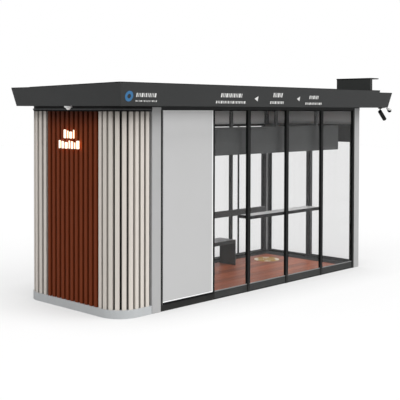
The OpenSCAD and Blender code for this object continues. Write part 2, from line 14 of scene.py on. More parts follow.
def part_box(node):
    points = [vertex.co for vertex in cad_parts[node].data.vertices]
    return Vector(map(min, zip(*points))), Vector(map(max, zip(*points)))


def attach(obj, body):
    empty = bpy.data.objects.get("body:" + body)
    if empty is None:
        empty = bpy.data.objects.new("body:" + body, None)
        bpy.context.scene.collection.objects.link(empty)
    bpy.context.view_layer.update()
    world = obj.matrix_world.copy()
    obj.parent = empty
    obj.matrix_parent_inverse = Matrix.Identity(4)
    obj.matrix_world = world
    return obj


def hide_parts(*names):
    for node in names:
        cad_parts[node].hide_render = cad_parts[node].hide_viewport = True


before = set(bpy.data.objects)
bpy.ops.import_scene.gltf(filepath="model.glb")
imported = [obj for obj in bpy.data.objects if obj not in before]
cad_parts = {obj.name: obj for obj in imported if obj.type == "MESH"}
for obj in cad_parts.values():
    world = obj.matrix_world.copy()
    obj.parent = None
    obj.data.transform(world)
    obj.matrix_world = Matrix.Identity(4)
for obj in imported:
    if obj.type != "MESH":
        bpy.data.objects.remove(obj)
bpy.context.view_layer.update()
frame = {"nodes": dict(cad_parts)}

bl_info = {
    "name": "Bus Shelter Dresser",
    "version": (1, 0, 0),
    "blender": (4, 5, 0),
    "location": "3D View > Sidebar > Shelter",
    "description": "Gives a packed bus shelter its finishes, small fittings and studio",
    "category": "Object",
}

SHELTER = "shelter"
DOOR = "door"


# ---- Colours and sizes that a user would change ----

def linear(code):
    """Turns an sRGB hex code into a linear RGBA colour."""
    out = []
    for i in (1, 3, 5):
        c = int(code[i:i + 2], 16) / 255
        out.append(c / 12.92 if c <= 0.04045 else ((c + 0.055) / 1.055) ** 2.4)
    return (*out, 1.0)


def colour(name, description, code):
    """A colour setting with an sRGB default."""
    return FloatVectorProperty(name=name, description=description, subtype="COLOR", size=4, min=0.0, max=1.0,
                               default=linear(code))


def length(name, description, metres):
    """A length setting in metres."""
    return FloatProperty(name=name, description=description, unit="LENGTH", subtype="DISTANCE", min=0.0,
                         default=metres, precision=4)


class ShelterColours(bpy.types.PropertyGroup):
    """Colours of the shelter's finishes"""
    roof: colour("Roof", "Paint of the roof and of the rear and entrance beams", "#363737")
    frame: colour("Frame", "Powder coat of the mullions, the base and the dark frames", "#121313")
    post: colour("Pale post", "Powder coat of the pale posts", "#aaaaaa")
    panel: colour("Panel", "Paint of the closed panels", "#b9b9b9")
    plinth: colour("Plinth", "Paint of the kerb under the slats", "#b4b7b9")
    cream: colour("Cream slat", "Powder coat of the pale slats", "#d0c9c1")
    brown: colour("Brown slat", "Middle tone of the wood-effect slats", "#70331a")
    board: colour("Floor board", "Middle tone of the floor boards", "#985336")
    mark: colour("Floor mark", "Vinyl of the round floor mark", "#b38c36")
    transom: colour("Transom", "Paint of the transom panels", "#f2f3f3")
    box: colour("Hung box", "Paint of the hung box", "#3a3b3b")
    ceiling: colour("Ceiling", "Paint of the ceiling", "#8a8a8a")
    seat: colour("Bench seat", "Paint of the sheet on the bench", "#757576")
    bench: colour("Bench sides", "Paint of the bench legs and of the seat under its sheet", "#393b3a")
    counter: colour("Counter", "Laminate of the counter top", "#b6b6b6")
    cabinet: colour("Cabinet", "Paint of the rooftop cabinet", "#373938")
    sign: colour("Marks", "Cut vinyl of the marks on the fascia", "#dededc")
    glow: colour("Sign glow", "Light that the lit sign throws on the slats", "#ffb264")
    ring: colour("Ring", "Cut vinyl of the round mark on the fascia", "#2d6c9c")
    glass: colour("Glass", "Tint of the panes", "#f3f3f3")


class ShelterSizes(bpy.types.PropertyGroup):
    """Sizes of the shelter's small fittings"""
    board_width: length("Board width", "Width of a floor board", 0.14)
    board_gap: length("Board gap", "Gap between floor boards", 0.004)
    board_length: length("Board length", "Longest floor board", 2.4)
    gasket_width: length("Gasket width", "Visible width of the gaskets at the heads of the panes", 0.012)
    gasket_proud: length("Gasket depth", "How far a gasket stands off the glass", 0.006)
    capping_height: length("Capping height", "Height of the capping on the roof's edges", 0.009)
    capping_width: length("Capping width", "Width of the capping on the roof's edges", 0.03)
    # The bright trim is a painted highlight of the closed panel's edges, and the bead also paints their
    # shadow gap
    edge_highlight_width: length("Trim width", "Width of the bright trim inside the closed panel's bead", 0.017)
    bead_and_highlight_depth: length("Trim depth", "Depth of the bead and the trim on the closed panel", 0.004)
    mark_thickness: length("Mark thickness", "Thickness of the mark plates on the fascia", 0.002)
    fascia_lean: length("Fascia lean", "How far the fascia leans outward over its height", 0.048)
    sign_depth: length("Sign depth", "Depth of the lit sign's bars", 0.008)
    sign_stand_off: length("Sign stand-off", "Gap between the slats and the lit sign", 0.035)
    corner_radius: length("Corner radius", "Radius of the kerb's round corners", 0.3)
    corner_steps: IntProperty(name="Corner steps", description="Flat steps in the trim round the corner",
                              default=18, min=6, max=48)


def colours():
    """The scene's colour settings."""
    return bpy.context.scene.shelter_colours


def sizes():
    """The scene's size settings."""
    return bpy.context.scene.shelter_sizes


# ---- Materials ----

# Range that holds nearly all values of a noise
NOISE_RANGE = {"From Min": 0.3, "From Max": 0.7}
# Pale dust that the road throws up
ROAD_DUST = "#a39e96"


def add(tree, kind, values=None):
    """Adds a shader node; a node or socket among its values is linked, and any other value is set."""
    node = tree.nodes.new("ShaderNode" + kind)
    for key, value in (values or {}).items():
        if isinstance(value, bpy.types.Node):
            value = value.outputs[0]
        if isinstance(value, bpy.types.NodeSocket):
            tree.links.new(value, node.inputs[key])
        elif isinstance(key, str) and hasattr(node, key):
            setattr(node, key, value)
        else:
            node.inputs[key].default_value = value
    return node


def per_metre(millimetres):
    """Texture scale whose features are that many millimetres across."""
    return 1000.0 / millimetres


def spread(middle, reach):
    """Output range that reaches equally far to both sides of its middle."""
    return {"To Min": middle - reach, "To Max": middle + reach}


def new_material(name):
    """An empty node material: itself, its tree and its object coordinates."""
    mat = bpy.data.materials.new(name)
    mat.use_nodes = True
    mat.node_tree.nodes.clear()
    return mat, mat.node_tree, add(mat.node_tree, "TexCoord").outputs["Object"]


def finish(mat, shader):
    """Links a shader to the material's output and hands the material back."""
    add(mat.node_tree, "OutputMaterial", {"Surface": shader})
    return mat


def painted_top_shading(tree, where, tone, top, depth, share):
    """Changes a tone smoothly, from its own value at depth below top to share of it at top.

    This paints the shade that an overhang casts on the face below it. A share over 1 paints light instead,
    which pales the face.
    """
    place = add(tree, "SeparateXYZ", {"Vector": where})
    shading_factor = add(tree, "MapRange", {
        "interpolation_type": "SMOOTHSTEP", "From Min": top - depth, "From Max": top, "To Min": 1.0,
        "To Max": share, "Value": place.outputs["Z"]})
    return add(tree, "Math", {"operation": "MULTIPLY", 0: tone, 1: shading_factor})


def coated_metal(name, rgba, roughness, peel_mm, sheet_mm=0.0, dust=0.0, cloud=0.015, gloss=0.2, eaves=None,
                 crevice=0.0):
    """Powder coat or paint on metal.

    Cured powder has an orange peel of about half a millimetre, drawn at peel_mm so that it shows. sheet_mm is
    the length of the slow waves in a flat sheet. dust pales the coat over its lowest 300 mm. cloud is how far
    the tone drifts over about 420 mm, and gloss is the share of light that the coat's skin throws back. eaves
    holds the top, depth and share of the painted shading toward the top, and crevice is the share of painted
    shade in a gap of some 60 mm.
    """
    mat, tree, where = new_material(name)
    peel = add(tree, "TexNoise", {"Scale": per_metre(peel_mm), "Detail": 2.0, "Vector": where})
    drift = add(tree, "TexNoise", {"Scale": per_metre(420), "Detail": 3.0, "Vector": where})
    tone = add(tree, "MapRange", {**NOISE_RANGE, **spread(1.0, cloud), "Value": drift})
    # Painted shading toward the top, as eaves gives it
    if eaves:
        tone = painted_top_shading(tree, where, tone, *eaves)
    if crevice:
        # Painted shade in narrow gaps, taken from ambient occlusion
        near = add(tree, "AmbientOcclusion", {"samples": 8, "Distance": 0.06})
        gap_shade = add(tree, "MapRange", {
            "From Min": 0.2, "From Max": 0.9, "To Min": 1.0 - crevice, "Value": near.outputs["AO"]})
        tone = add(tree, "Math", {"operation": "MULTIPLY", 0: tone, 1: gap_shade})
    base = add(tree, "HueSaturation", {"Color": rgba, "Value": tone})
    if dust:
        place = add(tree, "SeparateXYZ", {"Vector": where})
        low = add(tree, "MapRange", {
            "From Max": 0.3, "To Min": dust, "To Max": 0.0, "Value": place.outputs["Z"]})
        patch = add(tree, "Math", {"operation": "MULTIPLY", 0: low, 1: drift})
        base = add(tree, "Mix", {"data_type": "RGBA", 0: patch, 6: base, 7: linear(ROAD_DUST)}).outputs[2]
    sheen = add(tree, "MapRange", {**NOISE_RANGE, **spread(roughness, 0.04), "Value": drift})
    bump = add(tree, "Bump", {"Strength": 0.12, "Distance": 0.0004, "Height": peel})
    if sheet_mm:
        wave = add(tree, "TexNoise", {"Scale": per_metre(sheet_mm), "Detail": 0.0, "Vector": where})
        bump = add(tree, "Bump", {"Strength": 0.25, "Distance": 0.002, "Height": wave, "Normal": bump})
    return finish(mat, add(tree, "BsdfPrincipled", {
        "Specular IOR Level": gloss, "Base Color": base, "Roughness": sheen, "Normal": bump}))


def grained(name, rgba, stretch_mm, roughness, contrast, per_piece, gloss=0.15, eaves=None):
    """Wood or printed wood: a streaky grain whose streaks are stretch_mm long on each axis.

    per_piece varies the tone from one board to the next, as real boards do, and gloss is the share of light
    that the oil or lacquer throws back. eaves holds the top, depth and share of the painted shade toward the
    top.
    """
    mat, tree, where = new_material(name)
    place = add(tree, "Mapping", {"Scale": [per_metre(mm) for mm in stretch_mm], "Vector": where})
    streak = add(tree, "TexNoise", {
        "Scale": 1.0, "Detail": 6.0, "Roughness": 0.62, "Distortion": 0.35, "Vector": place})
    island = add(tree, "NewGeometry").outputs["Random Per Island"]
    board = add(tree, "MapRange", {**spread(1.0, per_piece), "Value": island})
    tone = add(tree, "MapRange", {
        "From Min": 0.25, "From Max": 0.75, **spread(1.0, contrast), "Value": streak})
    tone = add(tree, "Math", {"operation": "MULTIPLY", 0: tone, 1: board})
    # Painted shade toward the top, as eaves gives it
    if eaves:
        tone = painted_top_shading(tree, where, tone, *eaves)
    base = add(tree, "HueSaturation", {"Color": rgba, "Value": tone})
    bump = add(tree, "Bump", {"Strength": 0.3, "Distance": 0.0006, "Height": streak})
    sheen = add(tree, "MapRange", {**NOISE_RANGE, **spread(roughness, 0.06), "Value": streak})
    return finish(mat, add(tree, "BsdfPrincipled", {
        "Specular IOR Level": gloss, "Base Color": base, "Roughness": sheen, "Normal": bump}))


def moulded(name, rgba, roughness, grain_mm, fleck=0.03, metallic=0.0, gloss=0.5):
    """Moulded plastic, rubber, vinyl, laminate or plain metal: a fine grain, whose tone varies by fleck."""
    mat, tree, where = new_material(name)
    grain = add(tree, "TexNoise", {"Scale": per_metre(grain_mm), "Detail": 4.0, "Vector": where})
    tone = add(tree, "MapRange", {**NOISE_RANGE, **spread(1.0, fleck), "Value": grain})
    base = add(tree, "HueSaturation", {"Color": rgba, "Value": tone})
    bump = add(tree, "Bump", {"Strength": 0.1, "Distance": 0.0003, "Height": grain})
    return finish(mat, add(tree, "BsdfPrincipled", {
        "Metallic": metallic, "Roughness": roughness, "Specular IOR Level": gloss, "Base Color": base,
        "Normal": bump}))


# Index of a pane with its anti-glare coat; plain glass has 1.5
PANE_IOR = 1.22


def toughened_glass(name, rgba):
    """Clear toughened glass: slow roller waves about 300 mm apart bend its reflections a little.

    Its anti-glare coat throws back a quarter of what plain glass does, and rays from lamps go straight
    through, so the room behind it is lit and reads clearly.
    """
    mat, tree, where = new_material(name)
    wave = add(tree, "TexNoise", {"Scale": per_metre(300), "Detail": 0.0, "Vector": where})
    bump = add(tree, "Bump", {"Strength": 0.05, "Distance": 0.001, "Height": wave})
    pane = add(tree, "BsdfPrincipled", {
        "Base Color": rgba, "Transmission Weight": 1.0, "Roughness": 0.0, "IOR": PANE_IOR, "Normal": bump})
    through = add(tree, "BsdfTransparent", {"Color": [math.sqrt(v) for v in rgba]})
    shadow = add(tree, "LightPath").outputs["Is Shadow Ray"]
    return finish(mat, add(tree, "MixShader", {0: shadow, 1: pane, 2: through}))


def lit_acrylic(name, rgba, strength):
    """Opal acrylic lit from inside: slightly brighter over its lamps, which are 40 mm apart."""
    mat, tree, where = new_material(name)
    lamps = add(tree, "TexNoise", {"Scale": per_metre(40), "Detail": 0.0, "Vector": where})
    power = add(tree, "MapRange", {**spread(strength, 0.15 * strength), "Value": lamps})
    return finish(mat, add(tree, "BsdfPrincipled", {
        "Base Color": rgba, "Roughness": 0.4, "Emission Color": rgba, "Emission Strength": power}))


def make_materials():
    """Every finish of the shelter, by the name that pieces and nodes use."""
    c = colours()
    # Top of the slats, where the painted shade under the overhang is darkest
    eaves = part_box("slats_pale")[1].z
    return {
        # Satin powder coat with a fine peel: nearly black frames with soft, wide highlights
        "frame": coated_metal("powder_coated_aluminium_dark", c.frame, 0.42, 3.0, dust=0.06),
        # Same coat on the rear posts and the entrance's inner parts, a shade paler and away from road dust
        "frame_inner": coated_metal("powder_coated_aluminium_inner", linear("#3a3b3b"), 0.45, 3.0),
        # The low front sill catches more road dust than the posts over it
        "sill": coated_metal("powder_coated_sill", linear("#2d2f2f"), 0.45, 3.0, dust=0.08),
        # Painted folded steel sheet: slow waves in the flat faces move the highlights
        "roof": coated_metal("painted_steel_roof", c.roof, 0.5, 4.0, sheet_mm=600),
        # Dark primer of the board behind the slats, dead matt so that the gaps read black
        "backing": coated_metal("primed_backing_board", linear("#0c0b0a"), 0.8, 4.0, gloss=0.05),
        # Roof paint darkened to nearly black on the beam over the slats: painted shade of the overhang
        "beam": coated_metal("painted_steel_beam", linear("#242424"), 0.5, 4.0, sheet_mm=600, gloss=0.1),
        # Nearly the roof's paint on the beam over the windows, which catches light from the ground and has no
        # painted shade
        "lintel": coated_metal("painted_steel_lintel", linear("#343535"), 0.5, 4.0, sheet_mm=600, gloss=0.1),
        # Pale powder coat on extruded posts, a little dusty at the foot
        "post": coated_metal("powder_coated_aluminium_pale", c.post, 0.45, 3.0, dust=0.1, gloss=0.35),
        # Large flat composite panels: very even paint, with painted light that pales them toward the head
        # against the overhang's shade
        "panel": coated_metal("painted_composite_panel", c.panel, 0.4, 4.0, sheet_mm=900, cloud=0.006,
                              gloss=0.3, eaves=(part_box("front_panel")[1].z, 0.35, 1.4)),
        # Painted steel kerb, a little dusty where it meets the ground
        "plinth": coated_metal("painted_steel_kerb", c.plinth, 0.5, 4.0, dust=0.15, gloss=0.35),
        # Cream powder coat on extruded slats, with painted shade under the eaves and in the gaps
        "cream": coated_metal("powder_coated_slat_cream", c.cream, 0.45, 3.0, gloss=0.35,
                              eaves=(eaves, 0.16, 0.6), crevice=0.32),
        # Wood print sublimated on aluminium slats: long fine streaks along the slat, and painted shade under
        # the eaves
        "brown": grained("wood_print_on_aluminium", c.brown, (7, 7, 260), 0.5, 0.16, 0.03, gloss=0.08,
                         eaves=(eaves, 0.25, 0.35)),
        # Oiled hardwood boards: streaks along the board, each board with its own tone
        "board": grained("oiled_hardwood_board", c.board, (700, 24, 24), 0.42, 0.34, 0.28),
        # Printed vinyl floor mark, matt with an anti-slip grain
        "mark": moulded("printed_vinyl_ochre", c.mark, 0.6, 5.0, fleck=0.06),
        "mark_pale": moulded("printed_vinyl_pale", linear("#e6dccb"), 0.6, 5.0, fleck=0.04),
        # Painted steel transom sheets, very pale, with painted shade toward the ceiling
        "transom": coated_metal("painted_steel_transom", c.transom, 0.5, 4.0, sheet_mm=500,
                                eaves=(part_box("transom_panels")[1].z, 0.22, 0.4)),
        # Painted sheet case of the hung box, whose slow waves move its highlights
        "box": coated_metal("painted_steel_case", c.box, 0.5, 4.0, sheet_mm=700),
        # Painted ceiling sheets, matt
        "ceiling": coated_metal("painted_ceiling_sheet", c.ceiling, 0.6, 4.0, sheet_mm=700),
        # Painted sheet on the bench's top, and the bench's darker body
        "seat": coated_metal("painted_bench_seat", c.seat, 0.4, 3.0),
        "bench": coated_metal("painted_bench_side", c.bench, 0.45, 3.0, dust=0.2),
        # High-pressure laminate with a fine fleck
        "counter": moulded("pressed_laminate", c.counter, 0.35, 3.0, fleck=0.05),
        # Dark grey paint on the rooftop cabinet
        "cabinet": coated_metal("painted_steel_cabinet", c.cabinet, 0.45, 4.0, sheet_mm=400),
        # Black paint on the cabinet's hood
        "hood": coated_metal("painted_steel_hood", linear("#070707"), 0.6, 4.0, gloss=0.03),
        # Extruded rubber gaskets, seals and beads, dull and nearly black
        "rubber": moulded("extruded_rubber", linear("#0f0f10"), 0.7, 2.0, fleck=0.08, gloss=0.15),
        # Nylon pile of the door's brush, dull and fibrous
        "brush": moulded("nylon_pile", linear("#232425"), 0.85, 2.0, fleck=0.2),
        # Folded drip, a shade paler than the roof so that its edge reads as a line
        "drip": coated_metal("painted_steel_drip", linear("#4a4b4c"), 0.45, 4.0),
        # Grey anodised strips and beads, satin
        "cover": coated_metal("anodised_cover_strip", linear("#7e7e7e"), 0.4, 3.0, gloss=0.3),
        # Dull dark cast plates round the floor, which also paint the shade at the feet of the walls
        "border": moulded("cast_floor_plate", linear("#2c2d2e"), 0.75, 3.0, fleck=0.1, gloss=0.2),
        # Grey powder coat on the leaning rail, a little paler than the posts
        "rail": coated_metal("powder_coated_rail", linear("#484949"), 0.45, 3.0),
        # Painted highlight of the closed panel's edges: a white satin strip with a fine grain
        "trim": moulded("painted_edge_highlight", linear("#f4f4f4"), 0.35, 2.0, fleck=0.02),
        # Zinc-plated steel of the door's hangers and the sign's studs, with a soft metal gleam
        "steel": moulded("zinc_plated_steel", linear("#a4a6a8"), 0.35, 8.0, fleck=0.08, metallic=1.0),
        # Black and white moulded ABS camera bodies
        "abs_black": moulded("moulded_abs_black", linear("#0b0b0c"), 0.4, 2.0, gloss=0.2),
        "abs_white": moulded("moulded_abs_white", linear("#f6f6f5"), 0.35, 2.0, fleck=0.015),
        # Smoked polycarbonate bubble with a hard gloss
        "smoked": moulded("smoked_polycarbonate", linear("#08080a"), 0.12, 6.0, fleck=0.02, gloss=0.15),
        # Matt cut vinyl of the marks on the fascia, even and without shine
        "sign": moulded("cut_vinyl_white", c.sign, 0.5, 4.0, fleck=0.02),
        "ring": moulded("cut_vinyl_blue", c.ring, 0.45, 4.0, fleck=0.04),
        # Opal acrylic face that glows evenly, and the warm light behind it
        "lit": lit_acrylic("opal_acrylic_lit", linear("#fff0da"), 1.0),
        "glow": lit_acrylic("warm_back_light", c.glow, 4.0),
        # Clear panes with a faint grey tint and soft reflections
        "glass": toughened_glass("toughened_glass", c.glass),
    }


# Which nodes take which finish
NODE_FINISH = {
    "frame": ("floor_base", "panel_frame", "front_mullions", "counter_frame", "rear_sill", "threshold"),
    "sill": ("front_sill",),
    "rail": ("leaning_rail",),
    "frame_inner": ("rear_posts", "end_post", "door_operator", "door_track", "door_frame"),
    "backing": ("end_wall",),
    "beam": ("end_beam",),
    "lintel": ("front_beam",),
    "roof": ("rear_beam", "entrance_beam", "roof_fascia", "roof_sheets", "roof_deck"),
    "post": ("pale_posts",),
    "panel": ("front_panel", "rear_panel"),
    "plinth": ("plinth",),
    "cream": ("slats_pale",),
    "brown": ("slats_brown",),
    "board": ("floor_boards",),
    "mark": ("floor_mark",),
    "transom": ("transom_panels",),
    "box": ("sign_box", "box_hangers"),
    "ceiling": ("ceiling",),
    "bench": ("bench_legs", "bench_seat"),
    "counter": ("counter_top",),
    "cabinet": ("roof_cabinet",),
    "hood": ("cabinet_hood",),
    "steel": ("door_hangers",),
    "abs_black": ("bullet_camera",),
    "abs_white": ("dome_cameras",),
    "glass": ("front_glass", "rear_glass", "end_glass", "door_glass"),
}
# The finishes by name, once they are made
MATERIALS = {}


# ---- Mesh helpers ----

# Soft edges of sheets, edge rubbers, trim lines, folded strips, the round lips of gaskets, and other bars
SHEET_EDGE, RUBBER_EDGE, TRIM_EDGE, STRIP_EDGE, LIP_EDGE, EDGE = 0.0004, 0.0005, 0.0006, 0.0008, 0.0015, 0.001
# Most of a bar's thinnest side that a soft edge takes, and of a plate's shorter side that a corner takes
EDGE_SHARE, CORNER_SHARE = 0.45, 0.49
# Degrees between two faces over which a smooth piece keeps a sharp edge
SHARP = 35
# Places that should be the same differ by less than this
SAME = 0.001


def solids_of(node):
    """Lowest and highest corners of each separate solid in a CAD node, sorted by place."""
    mesh = frame["nodes"][node].data
    root = {}

    def find(key):
        while root.setdefault(key, key) != key:
            key = root[key]
        return key

    keys = [tuple(round(x, 5) for x in v.co) for v in mesh.vertices]
    for face in mesh.polygons:
        first = find(keys[face.vertices[0]])
        for index in face.vertices[1:]:
            root[find(keys[index])] = first
    groups = {}
    for key in keys:
        groups.setdefault(find(key), []).append(Vector(key))
    boxes = [(Vector(map(min, *points)), Vector(map(max, *points))) for points in groups.values()]
    return sorted(boxes, key=lambda b: tuple(b[0]))


def bar(bm, low, high, edge=EDGE, segments=1):
    """Adds a bar with softened edges between two corners."""
    low, high = Vector(low), Vector(high)
    size = high - low
    place = Matrix.Translation((low + high) / 2) @ Matrix.Diagonal((*size, 1.0))
    made = bmesh.ops.create_cube(bm, size=1.0, matrix=place)
    edges = {e for v in made["verts"] for e in v.link_edges}
    soft = min(edge, min(size) * EDGE_SHARE)
    bmesh.ops.bevel(bm, geom=list(edges), offset=soft, segments=segments, affect="EDGES", profile=0.5)


def skin(bm, rings, loop=False):
    """Joins rings of points with faces, and closes both ends or, in a loop, joins the last to the first."""
    rings = [[bm.verts.new(point) for point in ring] for ring in rings]
    count = len(rings[0])
    for a, b in zip(rings, rings[1:] + rings[:1] if loop else rings[1:]):
        for i in range(count):
            j = (i + 1) % count
            bm.faces.new((a[i], a[j], b[j], b[i]))
    if not loop:
        bm.faces.new(rings[0][::-1])
        bm.faces.new(rings[-1])


def relief(bm, outline, place, depth):
    """Adds a plate with this outline: place(a, b, out) gives each point, out is the height over the face."""
    skin(bm, [[place(a, b, out) for a, b in outline] for out in (0.0, depth)])


def annulus(bm, centre, inner, outer, place, depth, steps=48):
    """Adds a flat ring round a centre."""
    turns = [2 * math.pi * i / steps for i in range(steps)]
    skin(bm, [[place(centre[0] + radius * math.cos(t), centre[1] + radius * math.sin(t), out) for t in turns]
              for radius, out in ((outer, 0.0), (outer, depth), (inner, depth), (inner, 0.0))], loop=True)


def rounded(a, b, w, h, r, steps=4):
    """Outline of a rectangle with round corners and its low corner at a, b."""
    r = min(r, w * CORNER_SHARE, h * CORNER_SHARE)
    points = []
    for cx, cy, start in ((a + w - r, b + r, -90), (a + w - r, b + h - r, 0), (a + r, b + h - r, 90),
                          (a + r, b + r, 180)):
        for i in range(steps + 1):
            t = math.radians(start + 90 * i / steps)
            points.append((cx + r * math.cos(t), cy + r * math.sin(t)))
    return points


def lathe(bm, profile, place, steps=40):
    """Turns a profile of (radius, height) pairs about the axis of a placing matrix; radius 0 is one point."""
    rows = []
    for radius, height in profile:
        turns = [2 * math.pi * i / steps for i in range(steps if radius else 1)]
        rows.append([bm.verts.new(place @ Vector((radius * math.cos(t), radius * math.sin(t), height)))
                     for t in turns])
    for a, b in zip(rows, rows[1:]):
        for i in range(steps):
            j = (i + 1) % steps
            corners = list(dict.fromkeys((a[i % len(a)], a[j % len(a)], b[j % len(b)], b[i % len(b)])))
            if len(corners) > 2:
                bm.faces.new(corners)


def sweep(bm, path, low, high):
    """Runs a rectangle between two (out, up) corners along a path of (point, level outward normal) pairs."""
    section = (low, (high[0], low[1]), high, (low[0], high[1]))
    skin(bm, [[Vector(point) + Vector(normal) * out + Vector((0, 0, up)) for out, up in section]
              for point, normal in path])


def corner_path(inset, z):
    """Level path of (point, outward normal) pairs round the slatted end, from its front post to its rear one.

    inset is how far the path lies inside the kerb's face.
    """
    s = sizes()
    low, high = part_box("plinth")
    cx, r = low.x + s.corner_radius, s.corner_radius - inset
    front_y, rear_y = low.y + s.corner_radius, high.y - s.corner_radius
    path = [(Vector((high.x, front_y - r, z)), Vector((0, -1, 0)))]
    for cy, first in ((front_y, -90), (rear_y, -180)):
        for i in range(s.corner_steps + 1):
            t = math.radians(first - 90 * i / s.corner_steps)
            out = Vector((math.cos(t), math.sin(t), 0))
            path.append((Vector((cx, cy, z)) + out * r, out))
    path.append((Vector((high.x, rear_y + r, z)), Vector((0, 1, 0))))
    return path


def piece(name, bm, finish_name="rubber", slot="frame_black", body=SHELTER, smooth=False):
    """Makes an object from a bmesh, gives it its finish and lets it ride on a body."""
    bmesh.ops.recalc_face_normals(bm, faces=bm.faces[:])
    mesh = bpy.data.meshes.new(name)
    bm.to_mesh(mesh)
    bm.free()
    if smooth:
        mesh.shade_smooth()
        mesh.set_sharp_from_angle(angle=math.radians(SHARP))
    mesh.materials.append(MATERIALS[finish_name])
    obj = bpy.data.objects.new(name, mesh)
    bpy.context.scene.collection.objects.link(obj)
    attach(obj, body)
    return obj


def strips(name, edge, corners, *look):
    """Makes a piece of bars between low and high corners; look is its finish and slot, or else rubber. The
    slot is not used.
    """
    bm = bmesh.new()
    for low, high in corners:
        bar(bm, low, high, edge)
    piece(name, bm, *look)


def gasket_frames(bm, panes, across, edges, foot):
    """Adds gaskets round each pane, on both of its faces.

    across is the index of the pane's thin axis, edges the visible widths at the pane's low and high side, and
    foot the one at its lower edge, where 0 leaves the gasket out.
    """
    s = sizes()
    along = 1 - across
    for low, high in panes:
        left, right, sill, head = low[along], high[along], low.z + foot, high.z - s.gasket_width
        near, far = low[across], high[across]
        for deep in ((near - s.gasket_proud, near), (far, far + s.gasket_proud)):
            for a0, a1, z0, z1 in ((left, right, low.z, sill), (left, right, head, high.z),
                                   (left, left + edges[0], sill, head),
                                   (right - edges[1], right, sill, head)):
                if z1 > z0:
                    corner, other = [0.0, 0.0, z0], [0.0, 0.0, z1]
                    corner[across], other[across] = deep
                    corner[along], other[along] = a0, a1
                    bar(bm, corner, other, LIP_EDGE)


# ---- Operators ----

class Step:
    """Options that the shelter's operators share"""
    bl_options = {"REGISTER", "UNDO"}


class SHELTER_OT_finishes(Step, bpy.types.Operator):
    """Makes the materials and gives every CAD node its own finish"""
    bl_idname = "shelter.finishes"
    bl_label = "Finishes"

    def execute(self, context):
        MATERIALS.update(make_materials())
        bare = set(frame["nodes"])
        for finish_name, nodes in NODE_FINISH.items():
            for node in nodes:
                obj = frame["nodes"][node]
                if not obj.material_slots:
                    obj.data.materials.append(None)
                for slot in obj.material_slots:
                    slot.material = MATERIALS[finish_name]
                bare.discard(node)
        if bare:
            raise RuntimeError(f"no finish for {sorted(bare)}")
        return {"FINISHED"}


class SHELTER_OT_floor_boards(Step, bpy.types.Operator):
    """Lays the floor boards one by one, cut to the room and its two round corners"""
    bl_idname = "shelter.floor_boards"
    bl_label = "Floor boards"
    # Shares of a board's length that start the rows in turn, the smallest piece laid and a board's soft edge
    FIRST = (0.45, 0.8, 0.62)
    SMALLEST = 0.01
    SOFT = 0.002

    def execute(self, context):
        s = sizes()
        low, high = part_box("floor_boards")
        kerb_low, kerb_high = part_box("plinth")
        inset = low.x - kerb_low.x
        # The room proper lies between the rounds; in front of it the floor reaches to the shallow front frame
        room_low, room_high = kerb_low.y + inset, kerb_high.y - inset
        bay_x, post_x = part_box("front_sill")[0].x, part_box("front_mullions")[1].x
        post_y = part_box("threshold")[0].y
        radius = s.corner_radius - inset
        bm = bmesh.new()
        row, y = 0, low.y
        while y < high.y - self.SMALLEST:
            y1 = min(y + s.board_width, high.y)
            right = high.x
            if y < room_low:
                x, y1 = bay_x, min(y1, room_low)
                if y < post_y:
                    right = post_x
            else:
                off = max(room_low + radius - y, y1 - room_high + radius, 0.0)
                x = low.x + radius - math.sqrt(max(radius ** 2 - off ** 2, 0.0))
            reach = s.board_length * self.FIRST[row % len(self.FIRST)]
            while x < right - self.SMALLEST:
                x1 = min(x + reach, right)
                bar(bm, (x, y, low.z), (x1 - s.board_gap / 2, y1, high.z), self.SOFT, 2)
                x, reach = x1, s.board_length
            y = y1 + s.board_gap
            row += 1
        boards = piece("floor_board_set", bm, "board", "floor_wood")
        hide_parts("floor_boards")
        return {"FINISHED"}


class SHELTER_OT_floor_mark(Step, bpy.types.Operator):
    """Prints the pale ring, points and outer fields on the round floor mark"""
    bl_idname = "shelter.floor_mark"
    bl_label = "Floor mark"
    THICK = 0.0006
    # Shares of the mark's radius at which the ring, the points and the outer fields begin and end
    RING, POINTS, FIELDS = (0.26, 0.31), (0.38, 0.62), (0.7, 0.97)
    # Degrees that the print is turned, and radians to each side of a point, a narrow field and a wide one
    TURN = 44
    POINT_HALF = 0.2
    FIELD_HALVES = (0.28, 0.62)
    FIELD_STEPS = 8

    def execute(self, context):
        low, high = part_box("floor_mark")
        middle, radius = (low + high) / 2, (high.x - low.x) / 2

        def place(a, b, out):
            return Vector((middle.x + radius * a, middle.y + radius * b, high.z + out))

        bm = bmesh.new()
        annulus(bm, (0, 0), *self.RING, place, self.THICK)
        for k in range(4):
            turn = math.radians(self.TURN + 90 * k)

            def point(r, t, turn=turn):
                return (r * math.cos(turn + t), r * math.sin(turn + t))

            (near, far), (inner, outer) = self.POINTS, self.FIELDS
            relief(bm, [point(near, -self.POINT_HALF), point(far, 0.0), point(near, self.POINT_HALF)], place,
                   self.THICK)
            half = self.FIELD_HALVES[k % 2]
            arc = [half * (2 * i / self.FIELD_STEPS - 1) for i in range(self.FIELD_STEPS + 1)]
            relief(bm, [point(inner, t) for t in arc] + [point(outer, -t) for t in arc], place, self.THICK)
        piece("floor_mark_print", bm, "mark_pale", "floor_mark_yellow")
        return {"FINISHED"}


